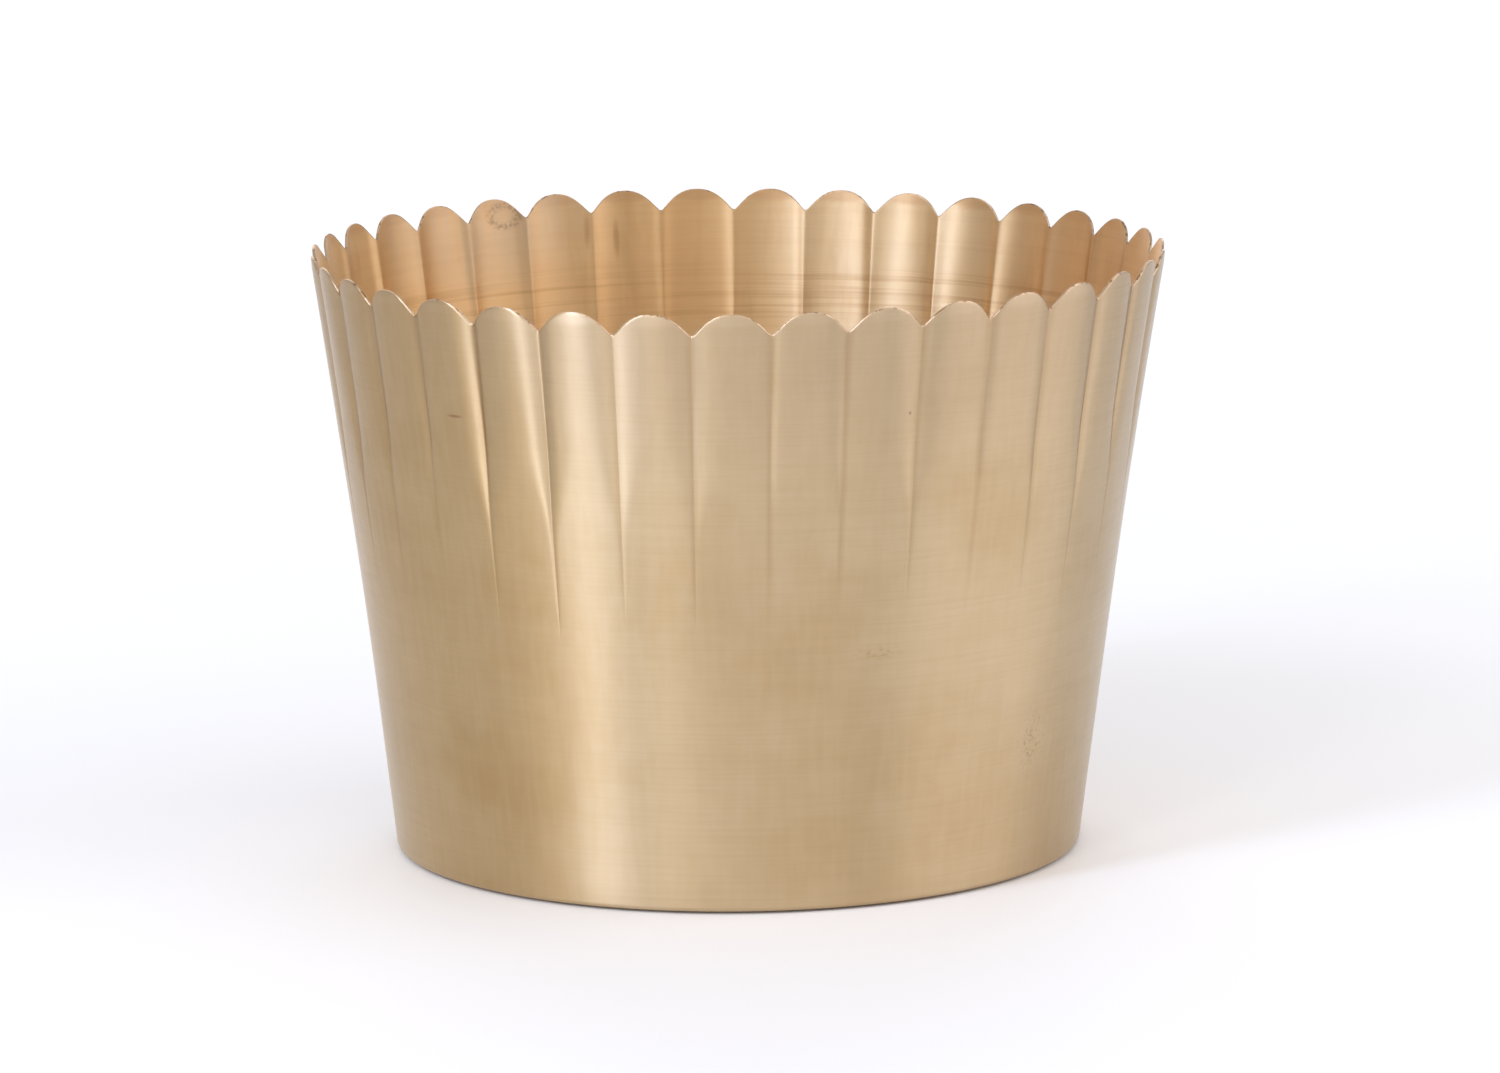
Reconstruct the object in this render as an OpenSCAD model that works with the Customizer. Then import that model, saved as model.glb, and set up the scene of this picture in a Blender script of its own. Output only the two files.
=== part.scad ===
// Brass planter pot: a thin tapered wall with creased flutes and a scalloped rim,
// turned in at the foot around a let-in base disc that is soldered from the inside.
// The origin is the centre of the surface the pot stands on, +Z is up.

/* [Wall] */
// Diameter over the tips of the rim lobes
rim_d = 250; // [180:1:320]
// Diameter of the foot, taken where the wall would meet its underside
foot_d = 201.4; // [140:0.2:240]
// Height from the foot's underside to the tips of the lobes
wall_h = 177; // [140:1:240]
// How far the wall's outline hollows inward at half its height
wall_bow = 1.1; // [0:0.1:3]
// Thickness of the brass sheet
sheet_t = 0.8; // [0.6:0.1:1.2]

/* [Rim and flutes] */
// Number of lobes round the rim, with one crease between each two
lobe_count = 35; // [16:1:35]
// Height of a lobe's tip above the notches beside it
lobe_h = 6; // [2:0.5:9]
// Direction of the first lobe's tip, from +X towards +Y
first_lobe_angle = 2.3; // [0:0.1:10]
// Height above the foot's underside at which the creases begin
crease_z = 85; // [50:1:110]
// How far each crease is pressed in at the rim
crease_depth = 1.5; // [0.4:0.1:3]

/* [Foot and base] */
// Outside radius of the bend between wall and foot flange
foot_bend_r = 1.8; // [1.4:0.1:3]
// Width of the flange that the wall is turned in to
flange_w = 9; // [6:0.5:14]
// Thickness of the base disc
base_t = 1; // [0.8:0.1:1.6]
// How far the solder runs up the wall above the base disc
solder_run = 2; // [1:0.1:3]

/* [Grip pads] */
// Number of pads stuck under the base disc
pad_count = 4; // [3:1:6]
// Diameter of a pad
pad_d = 18; // [10:1:24]
// Thickness of a pad, which stands the flange clear of the furniture
pad_t = 1.5; // [1.3:0.1:3]
// Distance of the pads' centres from the pot's axis
pad_ring_r = 74; // [30:1:76]

/* [Hidden] */
$fn = 180;

// Levels of the foot, worked out upwards from the standing surface.
foot_z = pad_t - sheet_t;
base_z = pad_t;
base_top_z = base_z + base_t;
rim_r = rim_d / 2;
foot_r = foot_d / 2;
bend_in_r = foot_bend_r - sheet_t;
// The base disc lies flat on the flange, inside the bend.
base_r = foot_r - foot_bend_r - 0.05;
// Gap that the solder leaves to the sheet, so that the two only meet.
solder_clear = 0.05;
first_pad_angle = 45;

// Columns of one lobe, as fractions of its width from notch to notch,
// closer together beside the crease.
COLUMNS = [0, 0.07, 0.18, 0.33, 0.5, 0.67, 0.82, 0.93];
column_count = len(COLUMNS) * lobe_count;
lobe_angle = 360 / lobe_count;
// Levels of the fluted part, as fractions of the way from crease_z to the rim.
FLUTE_LEVELS = [0, 0.3, 0.65, 1];
// Steps round the outside and the inside of the foot bend.
BEND_STEPS = [0, 0.34, 0.67, 1];
INNER_BEND_STEPS = [1, 0];
// Steps along the solder in the bend and up the wall.
SOLDER_STEPS = [0, 0.25, 0.5, 0.75, 1];
// A crease widens towards the rim along this power of its length.
crease_spread = 0.6;

// Outside radius of the unfluted wall at height h above the foot's underside.
function wall_r(h) =
    let (s = h / wall_h)
    foot_r + (rim_r - foot_r) * s - wall_bow * 4 * s * (1 - s);

// Lean of the wall from upright at height h, in degrees.
function wall_lean(h) = atan(wall_r(h + 0.5) - wall_r(h - 0.5));

// Height of the rim edge at fraction u of a lobe: a round tip between two notches.
function rim_h(u) = wall_h - lobe_h * pow(abs(2 * u - 1), 2);

// How far the sheet is pressed in at fraction u of a lobe, at level v of the crease.
function press_in(u, v) =
    let (
        from_crease = 2 * min(u, 1 - u),
        width = pow(v, crease_spread),
        side = width > 0 ? max(0, 1 - from_crease / width) : 0
    )
    crease_depth * v * side * side;

// Height and outside radius on column u at level v of the fluted part.
function flute_point(u, v) =
    let (h = crease_z + (rim_h(u) - crease_z) * v)
    [wall_r(h) - press_in(u, v), h];

// A point of the foot bend, at fraction s of the way from flange to wall.
function bend_point(s, r) =
    let (
        turn = 90 - wall_lean(foot_bend_r),
        a = s * turn - 90,
        centre_r = wall_r(foot_bend_r) - foot_bend_r
    )
    [centre_r + r * cos(a), foot_bend_r + r * sin(a)];

// Shift of the inside face from the outside face.
function inward(p) = [p[0] - sheet_t / cos(wall_lean(p[1])), p[1]];

// Outline of the sheet on column u: under the flange, up the outside,
// over the rim, down the inside and back over the flange.
function sheet_outline(u) =
    let (
        low = [wall_r(crease_z / 2), crease_z / 2],
        outside = concat([low], [for (v = FLUTE_LEVELS) flute_point(u, v)]),
        top = len(outside) - 1
    )
    concat(
        [[foot_r - flange_w, 0]],
        [for (s = BEND_STEPS) bend_point(s, foot_bend_r)],
        outside,
        [for (i = [top:-1:0]) inward(outside[i])],
        [for (s = INNER_BEND_STEPS) bend_point(s, bend_in_r)],
        [[foot_r - flange_w, sheet_t]]
    );

// The point of an outline, turned to its column's direction.
function turned(p, angle) = [p[0] * cos(angle), p[0] * sin(angle), p[1] + foot_z];

// Spun and creased brass wall with its scalloped rim and turned-in foot.
module fluted_wall() {
    outlines = [for (u = COLUMNS) sheet_outline(u)];
    ring = len(outlines[0]);
    points = [
        for (lobe = [0:lobe_count - 1])
        for (c = [0:len(COLUMNS) - 1])
        for (p = outlines[c])
        turned(p, first_lobe_angle + (lobe + COLUMNS[c] - 0.5) * lobe_angle)
    ];
    faces = [
        for (c = [0:column_count - 1])
        for (i = [0:ring - 1])
        let (
            next_c = (c + 1) % column_count,
            next_i = (i + 1) % ring,
            a = c * ring + i,
            b = next_c * ring + i,
            d = c * ring + next_i,
            e = next_c * ring + next_i
        )
        each [[a, d, e], [a, e, b]]
    ];
    color([0.74, 0.62, 0.44])
        polyhedron(points = points, faces = faces, convexity = 6);
}

// Flat disc let in from above, lying on the flange.
module base_disc() {
    color([0.72, 0.58, 0.38])
        translate([0, 0, base_z])
            cylinder(h = base_t, r = base_r);
}

// Ring of solder that fills the bend beside the disc's edge and runs a little way up the wall.
module base_solder() {
    edge_r = base_r + solder_clear;
    disc_top_h = base_top_z - foot_z;
    run_top_h = disc_top_h + solder_run;
    wall_side_r = inward([wall_r(run_top_h), run_top_h])[0] - solder_clear;
    bend = [for (s = SOLDER_STEPS) bend_point(s, bend_in_r - solder_clear)];
    run = [
        for (s = SOLDER_STEPS)
        [
            wall_side_r - (wall_side_r - edge_r) * (1 - cos(90 * s)),
            run_top_h - solder_run * sin(90 * s)
        ]
    ];
    color([0.70, 0.68, 0.62])
        translate([0, 0, foot_z])
            rotate_extrude()
                polygon(concat([[edge_r, sheet_t + solder_clear]], bend, run));
}

// Round pads stuck under the base disc, inside the flange.
module grip_pads() {
    color([0.16, 0.15, 0.14])
        for (i = [0:pad_count - 1])
            rotate([0, 0, first_pad_angle + i * 360 / pad_count])
                translate([pad_ring_r, 0, 0])
                    cylinder(h = pad_t, d = pad_d);
}

fluted_wall();
base_disc();
base_solder();
grip_pads();
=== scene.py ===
"""Looks for the fluted brass planter pot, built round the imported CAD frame. Metres, +Z up."""

import math

import bpy
import numpy as np
from mathutils import Matrix, Vector


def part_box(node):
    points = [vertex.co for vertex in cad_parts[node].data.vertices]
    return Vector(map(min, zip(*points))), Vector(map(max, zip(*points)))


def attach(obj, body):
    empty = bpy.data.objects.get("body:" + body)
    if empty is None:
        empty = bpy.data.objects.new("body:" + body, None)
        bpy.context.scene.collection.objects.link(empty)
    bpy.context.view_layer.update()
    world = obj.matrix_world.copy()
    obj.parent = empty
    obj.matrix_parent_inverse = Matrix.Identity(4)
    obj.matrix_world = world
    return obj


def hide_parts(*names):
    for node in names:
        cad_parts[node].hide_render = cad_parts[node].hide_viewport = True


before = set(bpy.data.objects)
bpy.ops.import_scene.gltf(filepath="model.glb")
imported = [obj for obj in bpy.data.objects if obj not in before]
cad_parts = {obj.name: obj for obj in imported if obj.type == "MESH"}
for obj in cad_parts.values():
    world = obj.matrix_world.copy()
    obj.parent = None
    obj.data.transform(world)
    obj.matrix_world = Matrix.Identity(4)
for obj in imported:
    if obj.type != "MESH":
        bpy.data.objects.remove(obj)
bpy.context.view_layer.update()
MM = 0.001
rng = np.random.default_rng(35)

# ---------------------------------------------------------------- sizes, from the frame
wall_low, wall_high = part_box("fluted_wall")
disc_low, disc_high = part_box("base_disc")
pads_low, pads_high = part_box("grip_pads")
FOOT_Z = wall_low.z
SHEET_T = disc_low.z - wall_low.z
BASE_TOP = disc_high.z
DISC_R = (disc_high.x - disc_low.x) / 2
RIM_R = (wall_high.x - wall_low.x) / 2
BEND_R = 1.8 * MM
BEND_IN_R = BEND_R - SHEET_T
FOOT_R = DISC_R + BEND_R + 0.05 * MM
FLANGE_W = 9 * MM
SOLDER_RUN = 2 * MM
SOLDER_ROWS = 8
PAD_COUNT = 4
PAD_R = 9 * MM
PAD_RING_R = 74 * MM
FIRST_PAD = 45

# ---------------------------------------------------------------- the wall's shape
LOBES = 35
LOBE_STEP = 2 * math.pi / LOBES
FIRST_LOBE = math.radians(2.42)
TIP_H = wall_high.z - wall_low.z - 1.3 * MM
WALL_BOW = 1.13 * MM
# The spun wall isn't quite true: its foot sits this far off the axis of its rim.
FOOT_OFFSET = Vector((-1.55 * MM, 0.5 * MM))
# A lobe is a full round tip this much higher than the sharp notches that its sides would reach.
LOBE_DEPTH = 7.35 * MM
LOBE_FULLNESS = 2.3
NOTCH_ROUND = 0.85 * MM
# The lobes were marked out by hand: waves of (turns round the pot, degrees, phase) move the notches.
LOBE_DRIFT = [(1, 1.12, 23), (2, 0.27, -173), (3, 0.42, 36)]
# The rim isn't level: waves of (turns round the pot, millimetres of cosine, millimetres of sine).
RIM_WAVE = [(1, -0.13, 0.79), (2, 0.43, -0.52)]
# A crease starts as a needle point and opens towards the rim into a full flute. It is lopsided:
# the sheet falls into it in a long curve on one side and steps back out on the other.
CREASE_SLOPE = 0.36
CREASE_FALL = 4
FLUTE_FALL = 2.6
CREASE_STEP_W = 3.2 * MM
CREASE_START = 85 * MM
# The creases that face front: start in millimetres above the foot, share of the step and
# relative depth.
FRONT_CREASES = [
    (88, 0.4, 1.0), (78, 0.5, 1.3), (80, 0.45, 1.1), (84, 0.1, 0.6), (84, 0.3, 0.8), (80, 0.4, 1.0),
    (86, 0.4, 1.0), (88, 0.3, 0.9), (84, 0.3, 1.0), (84, 0.4, 1.0), (82, 0.4, 1.0),
]
FIRST_FRONT_CREASE = 22
HALF_LOBE_W = RIM_R * LOBE_STEP / 2
COLUMNS_PER_HALF = 12
SPLIT_H = 58 * MM
# Each lobe's tip is bent slightly inward: the last few millimetres, along an arc.
CURL_H = 4.2 * MM
CURL_IN = 0.3 * MM
CURL_ARC = 3.4 * MM
# Hand-finished sheet: waves of (turns round the pot, millimetres of rise, phase, millimetres deep).
WAVES = [
    (rng.integers(2, 9), rng.uniform(15, 60), rng.uniform(0, 6.28), rng.uniform(0.01, 0.05))
    for _ in range(9)
]
# The rows of the wall's mesh.
BEND_ROWS = 9
LOWER_ROWS = 12
FLUTED_ROWS = 44
RIM_ROWS_BELOW_EDGE = (7, 6, 5, 4, 3, 2.1, 1.2, 0.5)
# The rounded cut edge: shares across the sheet and rises above the last row, in millimetres.
CUT_EDGE = ((0.06, 0.33), (0.25, 0.42), (0.55, 0.42), (0.74, 0.33))


def wall_r(h):
    """Outside radius of the plain wall at height h above the foot."""
    s = h / TIP_H
    return FOOT_R + (RIM_R - FOOT_R) * s - WALL_BOW * 4 * s * (1 - s)


WALL_LEAN = math.atan2(float(wall_r(TIP_H) - wall_r(0)), TIP_H)
BEND_CENTRE_R = wall_r(BEND_R) - BEND_R


def bend_point(share, r):
    """Radius and height at a share of the foot's bend from flange to wall, r from the bend's centre."""
    turn = share * (math.pi / 2 - WALL_LEAN) - math.pi / 2
    return BEND_CENTRE_R + r * math.cos(turn), BEND_R + r * math.sin(turn)


def rim_wave(a):
    """How far the rim rises and dips round the pot."""
    total = 0
    for turns, along_cos, along_sin in RIM_WAVE:
        total = total + along_cos * MM * np.cos(turns * a) + along_sin * MM * np.sin(turns * a)
    return total


def lobe_columns():
    """Direction of each column, its fraction of the way from notch to notch, and its crease."""
    half = (np.arange(COLUMNS_PER_HALF) / COLUMNS_PER_HALF) ** 1.8 / 2
    fractions = np.concatenate([half, [0.5], 1 - half[:0:-1]])
    notch = FIRST_LOBE + (np.arange(LOBES + 1) - 0.5) * LOBE_STEP
    for turns, size, phase in LOBE_DRIFT:
        notch += math.radians(size) * np.sin(turns * notch + math.radians(phase))
    notch[:LOBES] += rng.normal(0, math.radians(0.07), LOBES)
    notch[LOBES] = notch[0] + 2 * math.pi
    angles, u, crease, away = [], [], [], []
    for k in range(LOBES):
        width = notch[k + 1] - notch[k]
        angles.append(notch[k] + fractions * width)
        u.append(fractions)
        crease.append(np.where(fractions < 0.5, k, (k + 1) % LOBES))
        away.append(np.where(fractions < 0.5, fractions, fractions - 1) * width)
    return [np.concatenate(v) for v in (angles, u, crease, away)]


def tip_profile(u):
    """Drop of the rim edge below the lobe's tip at fraction u: a round arc with soft notches."""
    reach = np.abs(2 * u - 1)
    to_notch = np.sqrt((1 - reach) ** 2 + (NOTCH_ROUND / HALF_LOBE_W) ** 2)
    return LOBE_DEPTH * np.clip(1 - to_notch, 0, 1) ** LOBE_FULLNESS


def crease_forms():
    """Start height, share of the step and relative depth of each crease."""
    forms = np.stack([CREASE_START + rng.uniform(-5, 5, LOBES) * MM, rng.uniform(0.3, 0.55, LOBES),
                      rng.uniform(0.9, 1.25, LOBES)])
    for i, (start, step_share, relative) in enumerate(FRONT_CREASES):
        forms[:, (FIRST_FRONT_CREASE + i) % LOBES] = start * MM, step_share, relative
    return forms


def smoothstep(low, high, x):
    """0 up to low, 1 from high, and a smooth rise between."""
    t = np.clip((x - low) / (high - low), 0, 1)
    return t * t * (3 - 2 * t)


def press_in(h, away, start, step_share, relative):
    """Depth of a crease at height h and at angle `away` past it, and a mask along its line for painted
    shade.
    """
    v = np.clip((h - start) / (TIP_H - 6 * MM - start), 0, 1.05)
    half_w = HALF_LOBE_W * (0.3 * v ** 0.8 + 0.7 * smoothstep(0.25, 0.62, v) ** 1.5) + 1e-9
    fall = CREASE_FALL + (FLUTE_FALL - CREASE_FALL) * v
    depth = relative * (CREASE_SLOPE - 0.06 * v) * half_w / fall
    soft = np.minimum((0.25 + 0.8 * smoothstep(0.6, 1, v)) * MM, 0.3 * half_w)
    t = np.sqrt((away * wall_r(h)) ** 2 + soft ** 2) - soft
    before = np.clip(1 - t / half_w, 0, 1) ** fall
    step = np.clip(1 - t / np.minimum(CREASE_STEP_W, half_w), 0, 1) ** 2
    after = step_share * step + (1 - step_share) * np.clip(1 - t / half_w, 0, 1) ** 2
    pressed = depth * np.where(away < 0, before, after)
    mark = np.clip(1 - t / (1.2 * MM), 0, 1) * np.clip(v * 4, 0, 1)
    return pressed, mark


def tip_curl(h, lobe_top, u):
    """How far a lobe's tip is bent inward at height h, and how far into the bend that is."""
    arc = CURL_ARC * (2 * u - 1) ** 2
    t = np.clip((h - (lobe_top - CURL_H + arc)) / CURL_H, 0, 1)
    return CURL_IN * t ** 1.3, np.clip(t * 5, 0, 1)


def hand_wave(a, h):
    """Slight hollows and swells of hand-finished sheet."""
    total = 0
    for turns, rise, phase, size in WAVES:
        total = total + size * MM * np.sin(turns * a + h / MM / rise + phase)
    return total * np.clip(h / (20 * MM), 0, 1)


def mesh_object(name, points, faces, smooth=True):
    """A mesh from points and faces, linked into the scene."""
    mesh = bpy.data.meshes.new(name)
    mesh.from_pydata(points.tolist(), [], [list(face) for face in faces])
    mesh.validate()
    mesh.update()
    if smooth:
        mesh.polygons.foreach_set("use_smooth", np.ones(len(mesh.polygons), bool))
    obj = bpy.data.objects.new(name, mesh)
    bpy.context.scene.collection.objects.link(obj)
    return obj


def ring_faces(rows, columns):
    """Quads of a closed ring of columns whose rows also close on themselves."""
    r, c = np.meshgrid(np.arange(rows), np.arange(columns), indexing="ij")
    r2, c2 = (r + 1) % rows, (c + 1) % columns
    quads = np.stack([r * columns + c, r * columns + c2, r2 * columns + c2, r2 * columns + c], -1)
    return quads.reshape(-1, 4)


def point_attribute(obj, name, values):
    """Stores one number for each point, for the materials to read."""
    attribute = obj.data.attributes.new(name, "FLOAT", "POINT")
    attribute.data.foreach_set("value", np.asarray(values, np.float32).ravel())


def wall_rows(angle, u, crease, away):
    """Rows of the wall's outline: radius, height, crease shade mark, tip mark, inside share, edge share."""
    start, step_share, relative = crease_forms()[:, crease]
    lobe_top = TIP_H + rim_wave(angle)
    tips = lobe_top - tip_profile(u)
    rows = []

    def row(r, h, crease_shade_mark=0, tip_mark=0, side=0, edge=0):
        full = np.ones_like(angle)
        rows.append((full * r, full * h, full * crease_shade_mark, full * tip_mark, full * side, full * edge))

    # outside: flange, bend, lower wall, fluted wall
    row(FOOT_R - FLANGE_W, 0)
    row(FOOT_R - FLANGE_W / 2, 0)
    for s in np.linspace(0, 1, BEND_ROWS):
        row(*bend_point(s, BEND_R))
    shares = np.linspace(0, 1, LOWER_ROWS)[1:-1]
    lower = [np.full_like(angle, BEND_R + (SPLIT_H - BEND_R) * s) for s in shares]
    fluted = [SPLIT_H + (tips - 8 * MM - SPLIT_H) * s for s in np.linspace(0, 1, FLUTED_ROWS)]
    near_rim = [tips - below * MM for below in RIM_ROWS_BELOW_EDGE]
    skin = []
    for h in lower + fluted + near_rim:
        pressed, mark = press_in(h, away, start, step_share, relative)
        curl, tip = tip_curl(h, lobe_top, u)
        r = wall_r(h) - pressed + hand_wave(angle, h) - curl
        row(r, h, mark, tip)
        skin.append((r, h, mark, tip))
    # cut edge of the rim
    r_top, h_top, mark, tip = skin[-1]
    for across, up in CUT_EDGE:
        row(r_top - across * MM, h_top + up * MM, mark, tip, side=across / 0.8, edge=1)
    # inside, with every second row of the outside below the rim
    thickness = SHEET_T / math.cos(WALL_LEAN)
    first_near = len(lower) + len(fluted)
    inner = skin[:len(lower):2] + skin[len(lower):first_near:2] + skin[first_near:]
    for r, h, mark, tip in inner[::-1]:
        row(r - thickness, h, mark, tip, side=1)
    for s in (1, 0.66, 0.33, 0):
        row(*bend_point(s, BEND_IN_R), side=1)
    row(FOOT_R - FLANGE_W, SHEET_T, side=1)
    return [np.array(values) for values in zip(*rows)]


def build_wall():
    """The sheet: flange, bend, plain wall, flutes, cut edge, and back down the inside."""
    angle, u, crease, away = lobe_columns()
    radii, heights, creases, tip_marks, sides, edges = wall_rows(angle, u, crease, away)
    off = np.clip(1 - heights / TIP_H, 0, 1)
    x = radii * np.cos(angle) + FOOT_OFFSET.x * off
    y = radii * np.sin(angle) + FOOT_OFFSET.y * off
    z = heights + FOOT_Z
    points = np.stack([x, y, z], -1).reshape(-1, 3)
    obj = mesh_object("wall_skin", points, ring_faces(len(radii), len(angle)))
    point_attribute(obj, "crease", creases)
    point_attribute(obj, "tip", tip_marks)
    point_attribute(obj, "inside", sides)
    point_attribute(obj, "edge", edges)
    return obj


# ---------------------------------------------------------------- colours
OUTSIDE_PALE = (0.59, 0.452, 0.28, 1)
OUTSIDE_DEEP = (0.53, 0.385, 0.215, 1)
OUTSIDE_RIM = (0.525, 0.395, 0.252, 1)
OUTSIDE_TIP = (0.64, 0.50, 0.35, 1)
# Painted shade: the tint multiplied onto the left side of the outside.
LEFT_PAINTED_SHADE_TINT = (0.94, 0.87, 0.74, 1)
TARNISH = (0.50, 0.37, 0.235, 1)
BRUSHED_DARK = (0.46, 0.33, 0.18, 1)
DRAWN_PALE = (0.70, 0.56, 0.38, 1)
PIT_BROWN = (0.27, 0.17, 0.08, 1)
SCUFF_BROWN = (0.42, 0.25, 0.09, 1)
DOT_BROWN = (0.14, 0.08, 0.05, 1)
SCRATCH_BROWN = (0.30, 0.13, 0.07, 1)
INSIDE_PALE = (0.955, 0.71, 0.405, 1)
INSIDE_DEEP = (0.92, 0.635, 0.325, 1)
# A painted highlight on the inside.
INSIDE_PAINTED_HIGHLIGHT = (0.97, 0.81, 0.565, 1)
# Painted shade for the inside of the curled tips.
INSIDE_TIP_PAINTED_SHADE = (0.80, 0.52, 0.28, 1)
FLUSHED = (1.0, 0.70, 0.41, 1)
RING_BROWN = (0.66, 0.39, 0.16, 1)
DRIP_BROWN = (0.68, 0.42, 0.19, 1)
DULLED = (0.78, 0.63, 0.45, 1)
SMUDGE_GREY = (0.38, 0.27, 0.17, 1)
STREAK_BROWN = (0.55, 0.33, 0.14, 1)
# Painted shade for the creases.
CREASE_PAINTED_SHADE = (0.40, 0.26, 0.13, 1)
CUT_EDGE_PALE = (0.70, 0.52, 0.36, 1)
CUT_EDGE_NICK = (0.36, 0.22, 0.12, 1)
BASE_PALE = (0.80, 0.60, 0.34, 1)
BASE_DEEP = (0.71, 0.49, 0.25, 1)
TURNING_BROWN = (0.55, 0.36, 0.17, 1)
SOLDER_PALE = (0.50, 0.48, 0.44, 1)
SOLDER_DARK = (0.34, 0.32, 0.29, 1)
RUBBER_DARK = (0.022, 0.021, 0.020, 1)
RUBBER_WORN = (0.05, 0.048, 0.045, 1)
FLOOR_WHITE = (0.90, 0.90, 0.90, 1)
FLOOR_GREY = (0.88, 0.88, 0.88, 1)
# The two dull streaks inside, in degrees from +X.
STREAK_AZIMUTHS = (112.4, 107.9)


# ---------------------------------------------------------------- materials
class Recipe:
    """A node material: each method adds one node and returns its output."""

    def __init__(self, name):
        self.material = bpy.data.materials.new(name)
        self.material.use_nodes = True
        self.tree = self.material.node_tree
        self.tree.nodes.clear()
        self.shader = self.node("ShaderNodeBsdfPrincipled")
        out = self.node("ShaderNodeOutputMaterial")
        self.tree.links.new(self.shader.outputs[0], out.inputs[0])
        self.position = self.node("ShaderNodeTexCoord").outputs["Object"]

    def node(self, kind, settings=None, **inputs):
        made = self.tree.nodes.new(kind)
        for key, value in (settings or {}).items():
            setattr(made, key, value)
        for key, value in inputs.items():
            self.put(made, key.replace("_", " "), value)
        return made

    def put(self, node, key, value):
        """Sets or links an input, given by its name or, as n0 or n1, by its number."""
        numbered = key[0] == "n" and key[1:].isdigit()
        socket = node.inputs[int(key[1:])] if numbered else node.inputs[key]
        if isinstance(value, bpy.types.NodeSocket):
            self.tree.links.new(value, socket)
        else:
            socket.default_value = value

    def set(self, **inputs):
        for key, value in inputs.items():
            self.put(self.shader, key.replace("_", " "), value)

    def noise(self, stretch, detail=3.0, roughness=0.5, seed=0.0):
        """Noise whose features are 1/stretch metres along X, Y and Z."""
        shift = (seed, seed, seed)
        moved = self.node("ShaderNodeMapping", Vector=self.position, Location=shift, Scale=stretch)
        return self.cloud(moved.outputs[0], 1.0, detail, roughness)

    def cloud(self, vector, scale, detail, roughness):
        settings = {"Vector": vector, "Scale": scale, "Detail": detail, "Roughness": roughness}
        return self.node("ShaderNodeTexNoise", **settings).outputs["Fac"]

    def ramp(self, value, low, high, to_low=0.0, to_high=1.0):
        """A smooth change from to_low to to_high as a value goes from low to high."""
        made = self.node(
            "ShaderNodeMapRange", {"interpolation_type": "SMOOTHSTEP"},
            Value=value, From_Min=low, From_Max=high, To_Min=to_low, To_Max=to_high,
        )
        return made.outputs[0]

    def math(self, operation, a, b=0.0):
        return self.node("ShaderNodeMath", {"operation": operation}, n0=a, n1=b).outputs[0]

    def vector_math(self, operation, a, b=(0, 0, 0)):
        return self.node("ShaderNodeVectorMath", {"operation": operation}, n0=a, n1=b).outputs

    def mix(self, factor, a, b, blend="MIX"):
        made = self.node("ShaderNodeMix", {"data_type": "RGBA", "blend_type": blend}, n0=factor, n6=a, n7=b)
        return made.outputs[2]

    def attribute(self, name):
        return self.node("ShaderNodeAttribute", {"attribute_name": name}).outputs["Fac"]

    def near(self, centre, inner, outer, squash=(1, 1, 1)):
        """1 within `inner` metres of a point, 0 from `outer` on; squash below 1 lengthens that axis."""
        offset = self.vector_math("SUBTRACT", self.position, centre)["Vector"]
        offset = self.vector_math("MULTIPLY", offset, squash)["Vector"]
        apart = self.vector_math("LENGTH", offset)["Value"]
        return self.ramp(apart, inner, outer, 1.0, 0.0)

    def bump(self, height, distance, strength):
        return self.node("ShaderNodeBump", Height=height, Distance=distance, Strength=strength).outputs[0]


def brushed_brass(name, anisotropic):
    """Metal brushed round the pot's axis, which spreads each reflection up and down."""
    brass = Recipe(name)
    tangent = brass.node("ShaderNodeTangent", {"direction_type": "RADIAL", "axis": "Z"}).outputs[0]
    brass.set(Metallic=1.0, Anisotropic=anisotropic, Anisotropic_Rotation=0.25, Tangent=tangent)
    return brass


def on_wall(azimuth, height, inset=0.0):
    """A point on the wall at an azimuth from +X in degrees and a height above the foot in millimetres."""
    a = math.radians(azimuth)
    r = float(wall_r(height * MM)) - inset
    return Vector((r * math.cos(a), r * math.sin(a), height * MM + FOOT_Z))


def outside_tone(brass, height, clouds):
    """Pale brass, greyer towards the rim, with painted shade darkening and warming the left side, and with
    cloudy tarnish and brushing.
    """
    tone = brass.mix(brass.ramp(clouds, 0.35, 0.68), OUTSIDE_PALE, OUTSIDE_DEEP)
    tone = brass.mix(brass.ramp(height, 0.105, 0.172, 0.0, 0.8), tone, OUTSIDE_RIM)
    tone = brass.mix(brass.math("MULTIPLY", brass.attribute("tip"), 0.3), tone, OUTSIDE_TIP)
    # Painted shade: the front-left of the outside is multiplied darker and warmer.
    left_painted_shade = brass.near(on_wall(-143, 95), 0.028, 0.085, (1, 1, 0.45))
    tone = brass.mix(left_painted_shade, tone, LEFT_PAINTED_SHADE_TINT, "MULTIPLY")
    bloom = brass.noise((38, 38, 30), 5, 0.65, 11.0)
    tone = brass.mix(brass.ramp(bloom, 0.5, 0.78, 0.0, 0.28), tone, TARNISH)
    brushing = brass.noise((26, 26, 1300), 3, 0.6, 3.0)
    tone = brass.mix(brass.ramp(brushing, 0.35, 0.75, 0.0, 0.22), tone, BRUSHED_DARK)
    drawn = brass.noise((420, 420, 9), 2, 0.5, 5.0)
    tone = brass.mix(brass.ramp(drawn, 0.35, 0.7, 0.0, 0.09), tone, DRAWN_PALE)
    return outside_marks(brass, tone)


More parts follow.
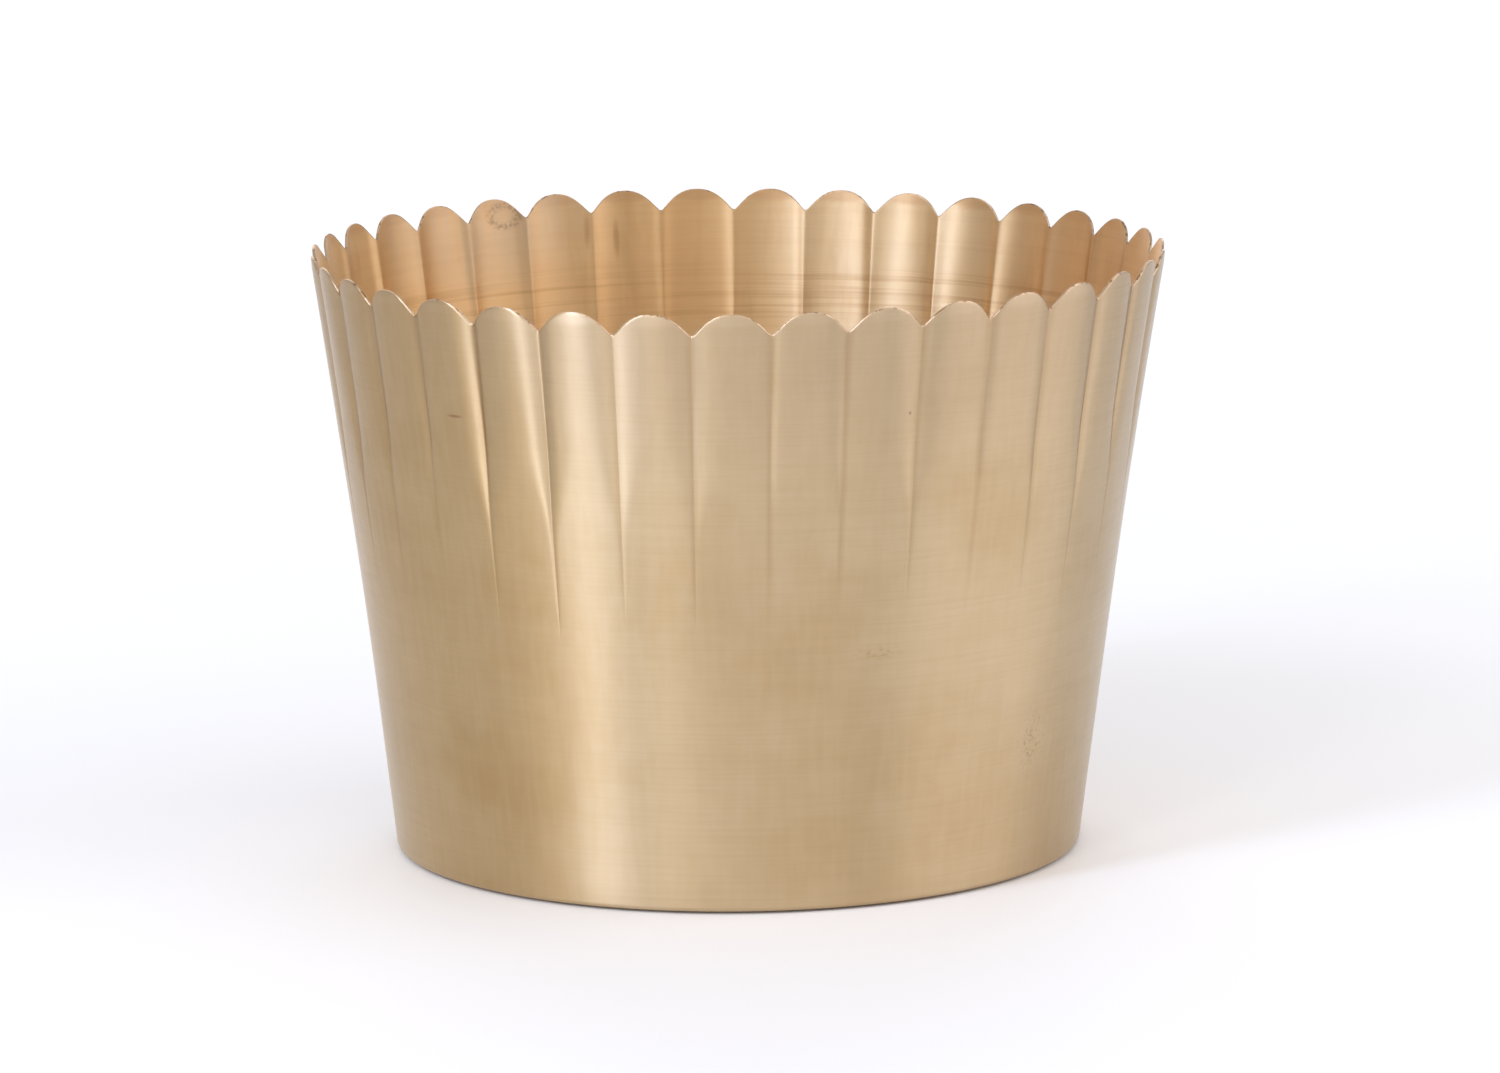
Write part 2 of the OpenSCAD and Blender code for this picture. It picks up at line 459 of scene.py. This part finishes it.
def outside_marks(brass, tone):
    """A pitted area, a scuff, a dark dot and a short scratch on the outside."""
    spots = brass.noise((1100, 1100, 1100), 2, 0.5, 9.0)
    pitted = brass.near(on_wall(-37.4, 40.5), 0.001, 0.015, (1.6, 1.6, 1))
    pits = brass.math("MULTIPLY", pitted, brass.ramp(spots, 0.55, 0.63))
    tone = brass.mix(brass.math("MULTIPLY", pits, 0.45), tone, PIT_BROWN)
    flecks = brass.noise((500, 500, 1400), 3, 0.6, 19.0)
    scuff = brass.near(on_wall(-69.2, 75), 0.001, 0.010, (1, 1, 3.2))
    scuff = brass.math("MULTIPLY", scuff, brass.ramp(flecks, 0.5, 0.6))
    tone = brass.mix(brass.math("MULTIPLY", scuff, 0.45), tone, SCUFF_BROWN)
    dot = brass.near(on_wall(-66.5, 144), 0.0003, 0.0009)
    tone = brass.mix(dot, tone, DOT_BROWN)
    scratch = brass.near(on_wall(-132, 141), 0.0002, 0.0006, (0.17, 0.17, 1))
    return brass.mix(brass.math("MULTIPLY", scratch, 0.6), tone, SCRATCH_BROWN)


def inside_tone(brass, height, clouds):
    """Warmer brass with a painted highlight, painted shade in the curled tips, flushed and dulled areas and
    spun rings.
    """
    tone = brass.mix(brass.ramp(clouds, 0.35, 0.68), INSIDE_PALE, INSIDE_DEEP)
    # Painted highlight: a broad cream patch inside, where the key softbox is reflected.
    painted_highlight = brass.near(on_wall(63, 163, SHEET_T), 0.022, 0.075)
    painted_highlight = brass.math("MULTIPLY", painted_highlight, brass.ramp(clouds, 0.25, 0.6, 0.45, 0.8))
    tone = brass.mix(painted_highlight, tone, INSIDE_PAINTED_HIGHLIGHT)
    # Painted shade: the inside of each lobe's curled-in tip is darkened.
    tone = brass.mix(brass.math("MULTIPLY", brass.attribute("tip"), 0.5), tone, INSIDE_TIP_PAINTED_SHADE)
    flushed = brass.near(on_wall(22, 150, SHEET_T), 0.020, 0.075, (1, 1, 0.5))
    tone = brass.mix(brass.math("MULTIPLY", flushed, 0.75), tone, FLUSHED)
    rings = brass.noise((9, 9, 620), 3, 0.6, 13.0)
    from_below = brass.ramp(height, 0.132, 0.142)
    from_above = brass.ramp(height, 0.149, 0.156, 1.0, 0.2)
    ringed = brass.math("MULTIPLY", from_below, from_above)
    ringed = brass.math("MULTIPLY", ringed, brass.ramp(rings, 0.44, 0.66, 0.0, 0.38))
    tone = brass.mix(ringed, tone, RING_BROWN)
    drips = brass.noise((70, 70, 6), 4, 0.6, 17.0)
    tone = brass.mix(brass.ramp(drips, 0.5, 0.75, 0.0, 0.4), tone, DRIP_BROWN)
    dulled = brass.near(on_wall(131, 174, SHEET_T), 0.012, 0.048, (0.8, 0.8, 1.5))
    dulled = brass.math("MULTIPLY", dulled, brass.ramp(drips, 0.36, 0.6, 0.85, 0.35))
    tone = brass.mix(dulled, tone, DULLED)
    return inside_marks(brass, tone)


def inside_marks(brass, tone):
    """A broken ring-shaped smudge and two dull streaks on the inside."""
    centre = on_wall(125.4, 171.4, SHEET_T)
    widened = (0.66, 0.66, 1)
    hole = brass.near(centre, 0.0014, 0.0034, widened)
    smudge = brass.math("SUBTRACT", brass.near(centre, 0.0030, 0.0050, widened), hole)
    specks = brass.noise((900, 900, 900), 2, 0.6, 23.0)
    smudge = brass.math("MULTIPLY", smudge, brass.ramp(specks, 0.36, 0.62, 0.05, 0.55))
    tone = brass.mix(smudge, tone, SMUDGE_GREY)
    for azimuth in STREAK_AZIMUTHS:
        streak = brass.near(on_wall(azimuth, 162, SHEET_T), 0.0003, 0.0015, (1, 1, 0.12))
        tone = brass.mix(brass.math("MULTIPLY", streak, 0.5), tone, STREAK_BROWN)
    return tone


def wall_material():
    """Brushed brass with painted shade along the creases and a nicked cut edge."""
    brass = brushed_brass("brushed_brass_wall", 0.9)
    height = brass.node("ShaderNodeSeparateXYZ", Vector=brass.position).outputs[2]
    inside = brass.attribute("inside")
    clouds = brass.noise((14, 14, 20), 4, 0.6)
    fine = brass.noise((60, 60, 3000), 3, 0.6, 7.0)
    color = brass.mix(inside, outside_tone(brass, height, clouds), inside_tone(brass, height, clouds))
    # Painted shade: creases darkened brown, strongly outside where they are grooves and faintly inside.
    crease_shade = brass.math("MULTIPLY", brass.attribute("crease"), brass.ramp(inside, 0, 1, 0.33, 0.08))
    color = brass.mix(crease_shade, color, CREASE_PAINTED_SHADE)
    nicks = brass.ramp(brass.noise((420, 420, 420), 3, 0.6, 21.0), 0.54, 0.62)
    cut_edge = brass.mix(nicks, CUT_EDGE_PALE, CUT_EDGE_NICK)
    color = brass.mix(brass.attribute("edge"), color, cut_edge)
    duller_inside = brass.math("MULTIPLY", inside, 0.23)
    roughness = brass.math("ADD", brass.ramp(fine, 0.25, 0.75, 0.37, 0.43), duller_inside)
    brass.set(Base_Color=color, Roughness=roughness, Normal=brass.bump(fine, 0.00002, 0.45))
    return brass.material


def base_material():
    """Brass with fine rings turned round the foot's centre."""
    brass = brushed_brass("turned_brass_base", 0.8)
    clouds = brass.noise((18, 18, 18), 4, 0.6)
    centre = (FOOT_OFFSET.x, FOOT_OFFSET.y, BASE_TOP)
    radius = brass.vector_math("DISTANCE", brass.position, centre)["Value"]
    turned = brass.node("ShaderNodeCombineXYZ", X=radius).outputs[0]
    rings = brass.cloud(turned, 900.0, 3.0, 0.7)
    tone = brass.mix(brass.ramp(clouds, 0.3, 0.7), BASE_PALE, BASE_DEEP)
    tone = brass.mix(brass.ramp(rings, 0.4, 0.7, 0.0, 0.4), tone, TURNING_BROWN)
    roughness = brass.ramp(rings, 0.3, 0.7, 0.34, 0.44)
    brass.set(Base_Color=tone, Roughness=roughness, Normal=brass.bump(rings, 0.00003, 0.6))
    return brass.material


def solder_material():
    """Dull grey metal, lumpy."""
    solder = Recipe("grey_solder")
    lumps = solder.noise((400, 400, 400), 4, 0.6)
    tone = solder.mix(solder.ramp(lumps, 0.3, 0.7), SOLDER_PALE, SOLDER_DARK)
    roughness = solder.ramp(lumps, 0.3, 0.7, 0.35, 0.6)
    solder.set(Metallic=1.0, Base_Color=tone, Roughness=roughness, Normal=solder.bump(lumps, 0.0002, 0.5))
    return solder.material


def rubber_material():
    """Matt black foam rubber with fine cells."""
    rubber = Recipe("foam_rubber")
    cells = rubber.noise((1500, 1500, 1500), 3, 0.6)
    tone = rubber.mix(cells, RUBBER_DARK, RUBBER_WORN)
    rubber.set(Base_Color=tone, Roughness=0.85, Normal=rubber.bump(cells, 0.0002, 0.6))
    return rubber.material


# ---------------------------------------------------------------- other pieces
def turned_rings(outline, columns, centre, wobble):
    """The points of each (radius, height) of an outline, turned round an upright axis."""
    angle = np.arange(columns) * 2 * math.pi / columns
    rings = []
    for i, (r, h) in enumerate(outline):
        dr, dh = wobble(i, angle) if wobble else (0, 0)
        x = centre[0] + (r + dr) * np.cos(angle)
        y = centre[1] + (r + dr) * np.sin(angle)
        rings.append(np.stack([x, y, np.zeros(columns) + h + dh], -1))
    return rings


def lathe(name, outline, columns, centre=(0, 0), wobble=None):
    """A closed ring turned from an outline of (radius, height) points."""
    points = turned_rings(outline, columns, centre, wobble)
    return mesh_object(name, np.concatenate(points), ring_faces(len(outline), columns))


def lathe_solid(name, outline, columns, centre=(0, 0), wobble=None):
    """A solid turned from an outline of (radius, height) points between two points on its axis."""
    points = turned_rings(outline[1:-1], columns, centre, wobble)
    rings = len(points)
    sides = ring_faces(rings, columns)[:(rings - 1) * columns]
    poles = np.array([(*centre, outline[0][1]), (*centre, outline[-1][1])])
    first = np.arange(columns)
    after = (first + 1) % columns
    last = (rings - 1) * columns
    low = np.stack([np.full(columns, rings * columns), after, first], -1)
    high = np.stack([np.full(columns, rings * columns + 1), last + first, last + after], -1)
    return mesh_object(name, np.concatenate(points + [poles]), sides.tolist() + low.tolist() + high.tolist())


def build_solder():
    """A lumpy fillet between the base disc and the wall."""
    edge = DISC_R + 0.02 * MM
    low = FOOT_Z + SHEET_T
    top = BASE_TOP + SOLDER_RUN
    wall_side = float(wall_r(top - FOOT_Z)) - SHEET_T * 1.02
    outline = [(edge, low + 0.05 * MM)]
    for s in np.linspace(0, 1, 5):
        r, h = bend_point(s, BEND_IN_R - 0.03 * MM)
        outline.append((r, FOOT_Z + h))
    fixed = len(outline)
    run_w = wall_side - edge + 1.2 * MM
    run_h = top - BASE_TOP - 0.02 * MM
    for s in np.linspace(0, 1, SOLDER_ROWS):
        a = math.radians(90 * s)
        outline.append((wall_side - run_w * (1 - math.cos(a)), top - run_h * math.sin(a)))
    lumps = [(rng.integers(5, 60), rng.uniform(0, 6.28), rng.uniform(0.02, 0.12)) for _ in range(14)]

    def wobble(i, angle):
        if i < fixed:
            return 0, 0
        s = (i - fixed) / (SOLDER_ROWS - 1)
        swell = sum(size * np.sin(n * angle + phase) for n, phase, size in lumps) * MM
        return -np.abs(swell) * math.sin(math.pi * min(s + 0.15, 1)) * 0.6, swell * 0.5 * (1 - s)

    return lathe("solder_bead", outline, 480, FOOT_OFFSET, wobble)


def build_disc():
    """The let-in base disc, very slightly uneven as flattened sheet is."""
    thick = disc_high.z - disc_low.z
    chamfer = 0.15 * MM
    bottom = [(0, 0), (DISC_R * 0.3, 0), (DISC_R * 0.6, 0), (DISC_R - chamfer, 0)]
    edge = [(DISC_R, chamfer), (DISC_R, thick - chamfer), (DISC_R - chamfer, thick)]
    top = [(DISC_R * s, thick) for s in np.linspace(0.97, 0.02, 30)] + [(0, thick)]
    outline = [(r, disc_low.z + h) for r, h in bottom + edge + top]
    first_top = len(bottom + edge) - 1
    waves = [(n, rng.uniform(0, 6.28), rng.uniform(0.02, 0.06)) for n in (1, 2, 3, 4)]

    def wobble(i, angle):
        if i < first_top:
            return 0, 0
        s = outline[i + 1][0] / DISC_R
        swell = sum(size * np.sin(n * angle + phase + 3 * s) for n, phase, size in waves) * MM
        return 0, -np.abs(swell) * (1 - s ** 4) * s

    return lathe_solid("base_plate", outline, 256, FOOT_OFFSET, wobble)


def build_pads():
    """Die-cut foam rubber pads, rounded at their lower edge."""
    height = pads_high.z - pads_low.z
    soft = 0.35 * MM
    sharp = 0.05 * MM
    outline = [(0, 0), (PAD_R * 0.5, 0), (PAD_R - soft, 0)]
    outline += [(PAD_R - soft * (1 - math.sin(t)), soft * (1 - math.cos(t))) for t in (0.5, 1.0, 1.57)]
    outline += [(PAD_R, height - sharp), (PAD_R - sharp, height), (PAD_R * 0.5, height), (0, height)]
    outline = [(r, pads_low.z + h) for r, h in outline]
    pads = []
    for i in range(PAD_COUNT):
        a = math.radians(FIRST_PAD + 360 / PAD_COUNT * i)
        centre = (PAD_RING_R * math.cos(a), PAD_RING_R * math.sin(a))
        pads.append(lathe_solid(f"pad_{i + 1}", outline, 64, centre))
    return pads


# ---------------------------------------------------------------- studio
FLOOR_SIZE = 28
CAMERA_AIM = Vector((2.69 * MM, 0.55 * MM, 90.3 * MM))
CAMERA_DISTANCE = 2.192
CAMERA_ELEVATION = 0.18045
CAMERA_ROLL = -0.0097
WORLD_STRENGTH = 0.6
SOFTBOX_AIM = Vector((0, 0, 0.1))
SOFTBOX_ELEVATION = 26
SOFTBOX_DISTANCE = 2.4
SOFTBOX_HEIGHT = 2.0
# Azimuth in degrees, width in metres, watts and tint.
SOFTBOXES = {
    "key": (-45, 0.42, 23.5, (0.87, 1, 1.35)),
    "key_spill_left": (-60, 0.34, 3.3, (1.1, 0.9, 0.4)),
    "key_spill_right": (-22, 0.34, 6.7, (1, 1, 1)),
    "front": (10, 2.4, 12, (1.08, 1, 1)),
    "right": (80, 2.5, 22.5, (1.05, 1, 1.06)),
    "back_right": (166, 1.0, 8, (0.85, 0.97, 1.25)),
    "back_left": (-165, 1.0, 8.5, (1.05, 0.98, 1.0)),
}


def build_floor():
    """A plain pale floor."""
    half = FLOOR_SIZE / 2
    points = np.array([(-half, -half, 0), (half, -half, 0), (half, half, 0), (-half, half, 0)])
    floor = mesh_object("studio_floor", points, np.array([[0, 1, 2, 3]]), smooth=False)
    pale = Recipe("pale_floor")
    tone = pale.noise((3, 3, 3), 3, 0.5)
    pale.set(Base_Color=pale.mix(tone, FLOOR_WHITE, FLOOR_GREY), Roughness=0.7)
    floor.data.materials.append(pale.material)


def softbox(name, azimuth, width, power, tint):
    """A tall rectangular light; azimuth is measured from the camera's side, positive to the right."""
    a = math.radians(azimuth - 90)
    e = math.radians(SOFTBOX_ELEVATION)
    direction = Vector((math.cos(a) * math.cos(e), math.sin(a) * math.cos(e), math.sin(e)))
    place = SOFTBOX_AIM + SOFTBOX_DISTANCE * direction
    light = bpy.data.lights.new(name, "AREA")
    light.shape = "RECTANGLE"
    light.size = width
    light.size_y = SOFTBOX_HEIGHT
    light.energy = power
    light.color = tint
    obj = bpy.data.objects.new(name, light)
    obj.location = place
    obj.rotation_euler = (SOFTBOX_AIM - place).to_track_quat("-Z", "Y").to_euler()
    obj.visible_camera = False
    bpy.context.scene.collection.objects.link(obj)


def build_lights():
    """Softboxes round the pot and a plain white world."""
    for name, (azimuth, width, power, tint) in SOFTBOXES.items():
        softbox(name, azimuth, width, power, tint)
    world = bpy.data.worlds.new("studio")
    world.use_nodes = True
    background = world.node_tree.nodes["Background"]
    background.inputs["Color"].default_value = (1, 1, 1, 1)
    background.inputs["Strength"].default_value = WORLD_STRENGTH
    bpy.context.scene.world = world


def build_camera():
    """Looks slightly down at the pot from the front, a hair off level."""
    backwards = Vector((0, -math.cos(CAMERA_ELEVATION), math.sin(CAMERA_ELEVATION)))
    place = CAMERA_AIM + CAMERA_DISTANCE * backwards
    forward = (CAMERA_AIM - place).normalized()
    right = forward.cross(Vector((0, 0, 1))).normalized()
    up = right.cross(forward)
    rolled_right = right * math.cos(CAMERA_ROLL) + up * math.sin(CAMERA_ROLL)
    rolled_up = up * math.cos(CAMERA_ROLL) - right * math.sin(CAMERA_ROLL)
    data = bpy.data.cameras.new("camera")
    data.sensor_width = 36
    data.lens = 179.2
    data.clip_end = 100
    camera = bpy.data.objects.new("camera", data)
    axes = Matrix((rolled_right, rolled_up, -forward)).transposed()
    camera.matrix_world = Matrix.Translation(place) @ axes.to_4x4()
    bpy.context.scene.collection.objects.link(camera)
    bpy.context.scene.camera = camera


def finish_piece(obj, material, node):
    """Gives a piece its material and ties it to the frame."""
    obj.data.materials.append(material)
    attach(obj, "root")
    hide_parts(node)


build_camera()
finish_piece(build_wall(), wall_material(), "fluted_wall")
finish_piece(build_disc(), base_material(), "base_disc")
finish_piece(build_solder(), solder_material(), "base_solder")
rubber = rubber_material()
for pad in build_pads():
    finish_piece(pad, rubber, "grip_pads")
build_floor()
build_lights()
bpy.context.scene.view_settings.view_transform = "Standard"
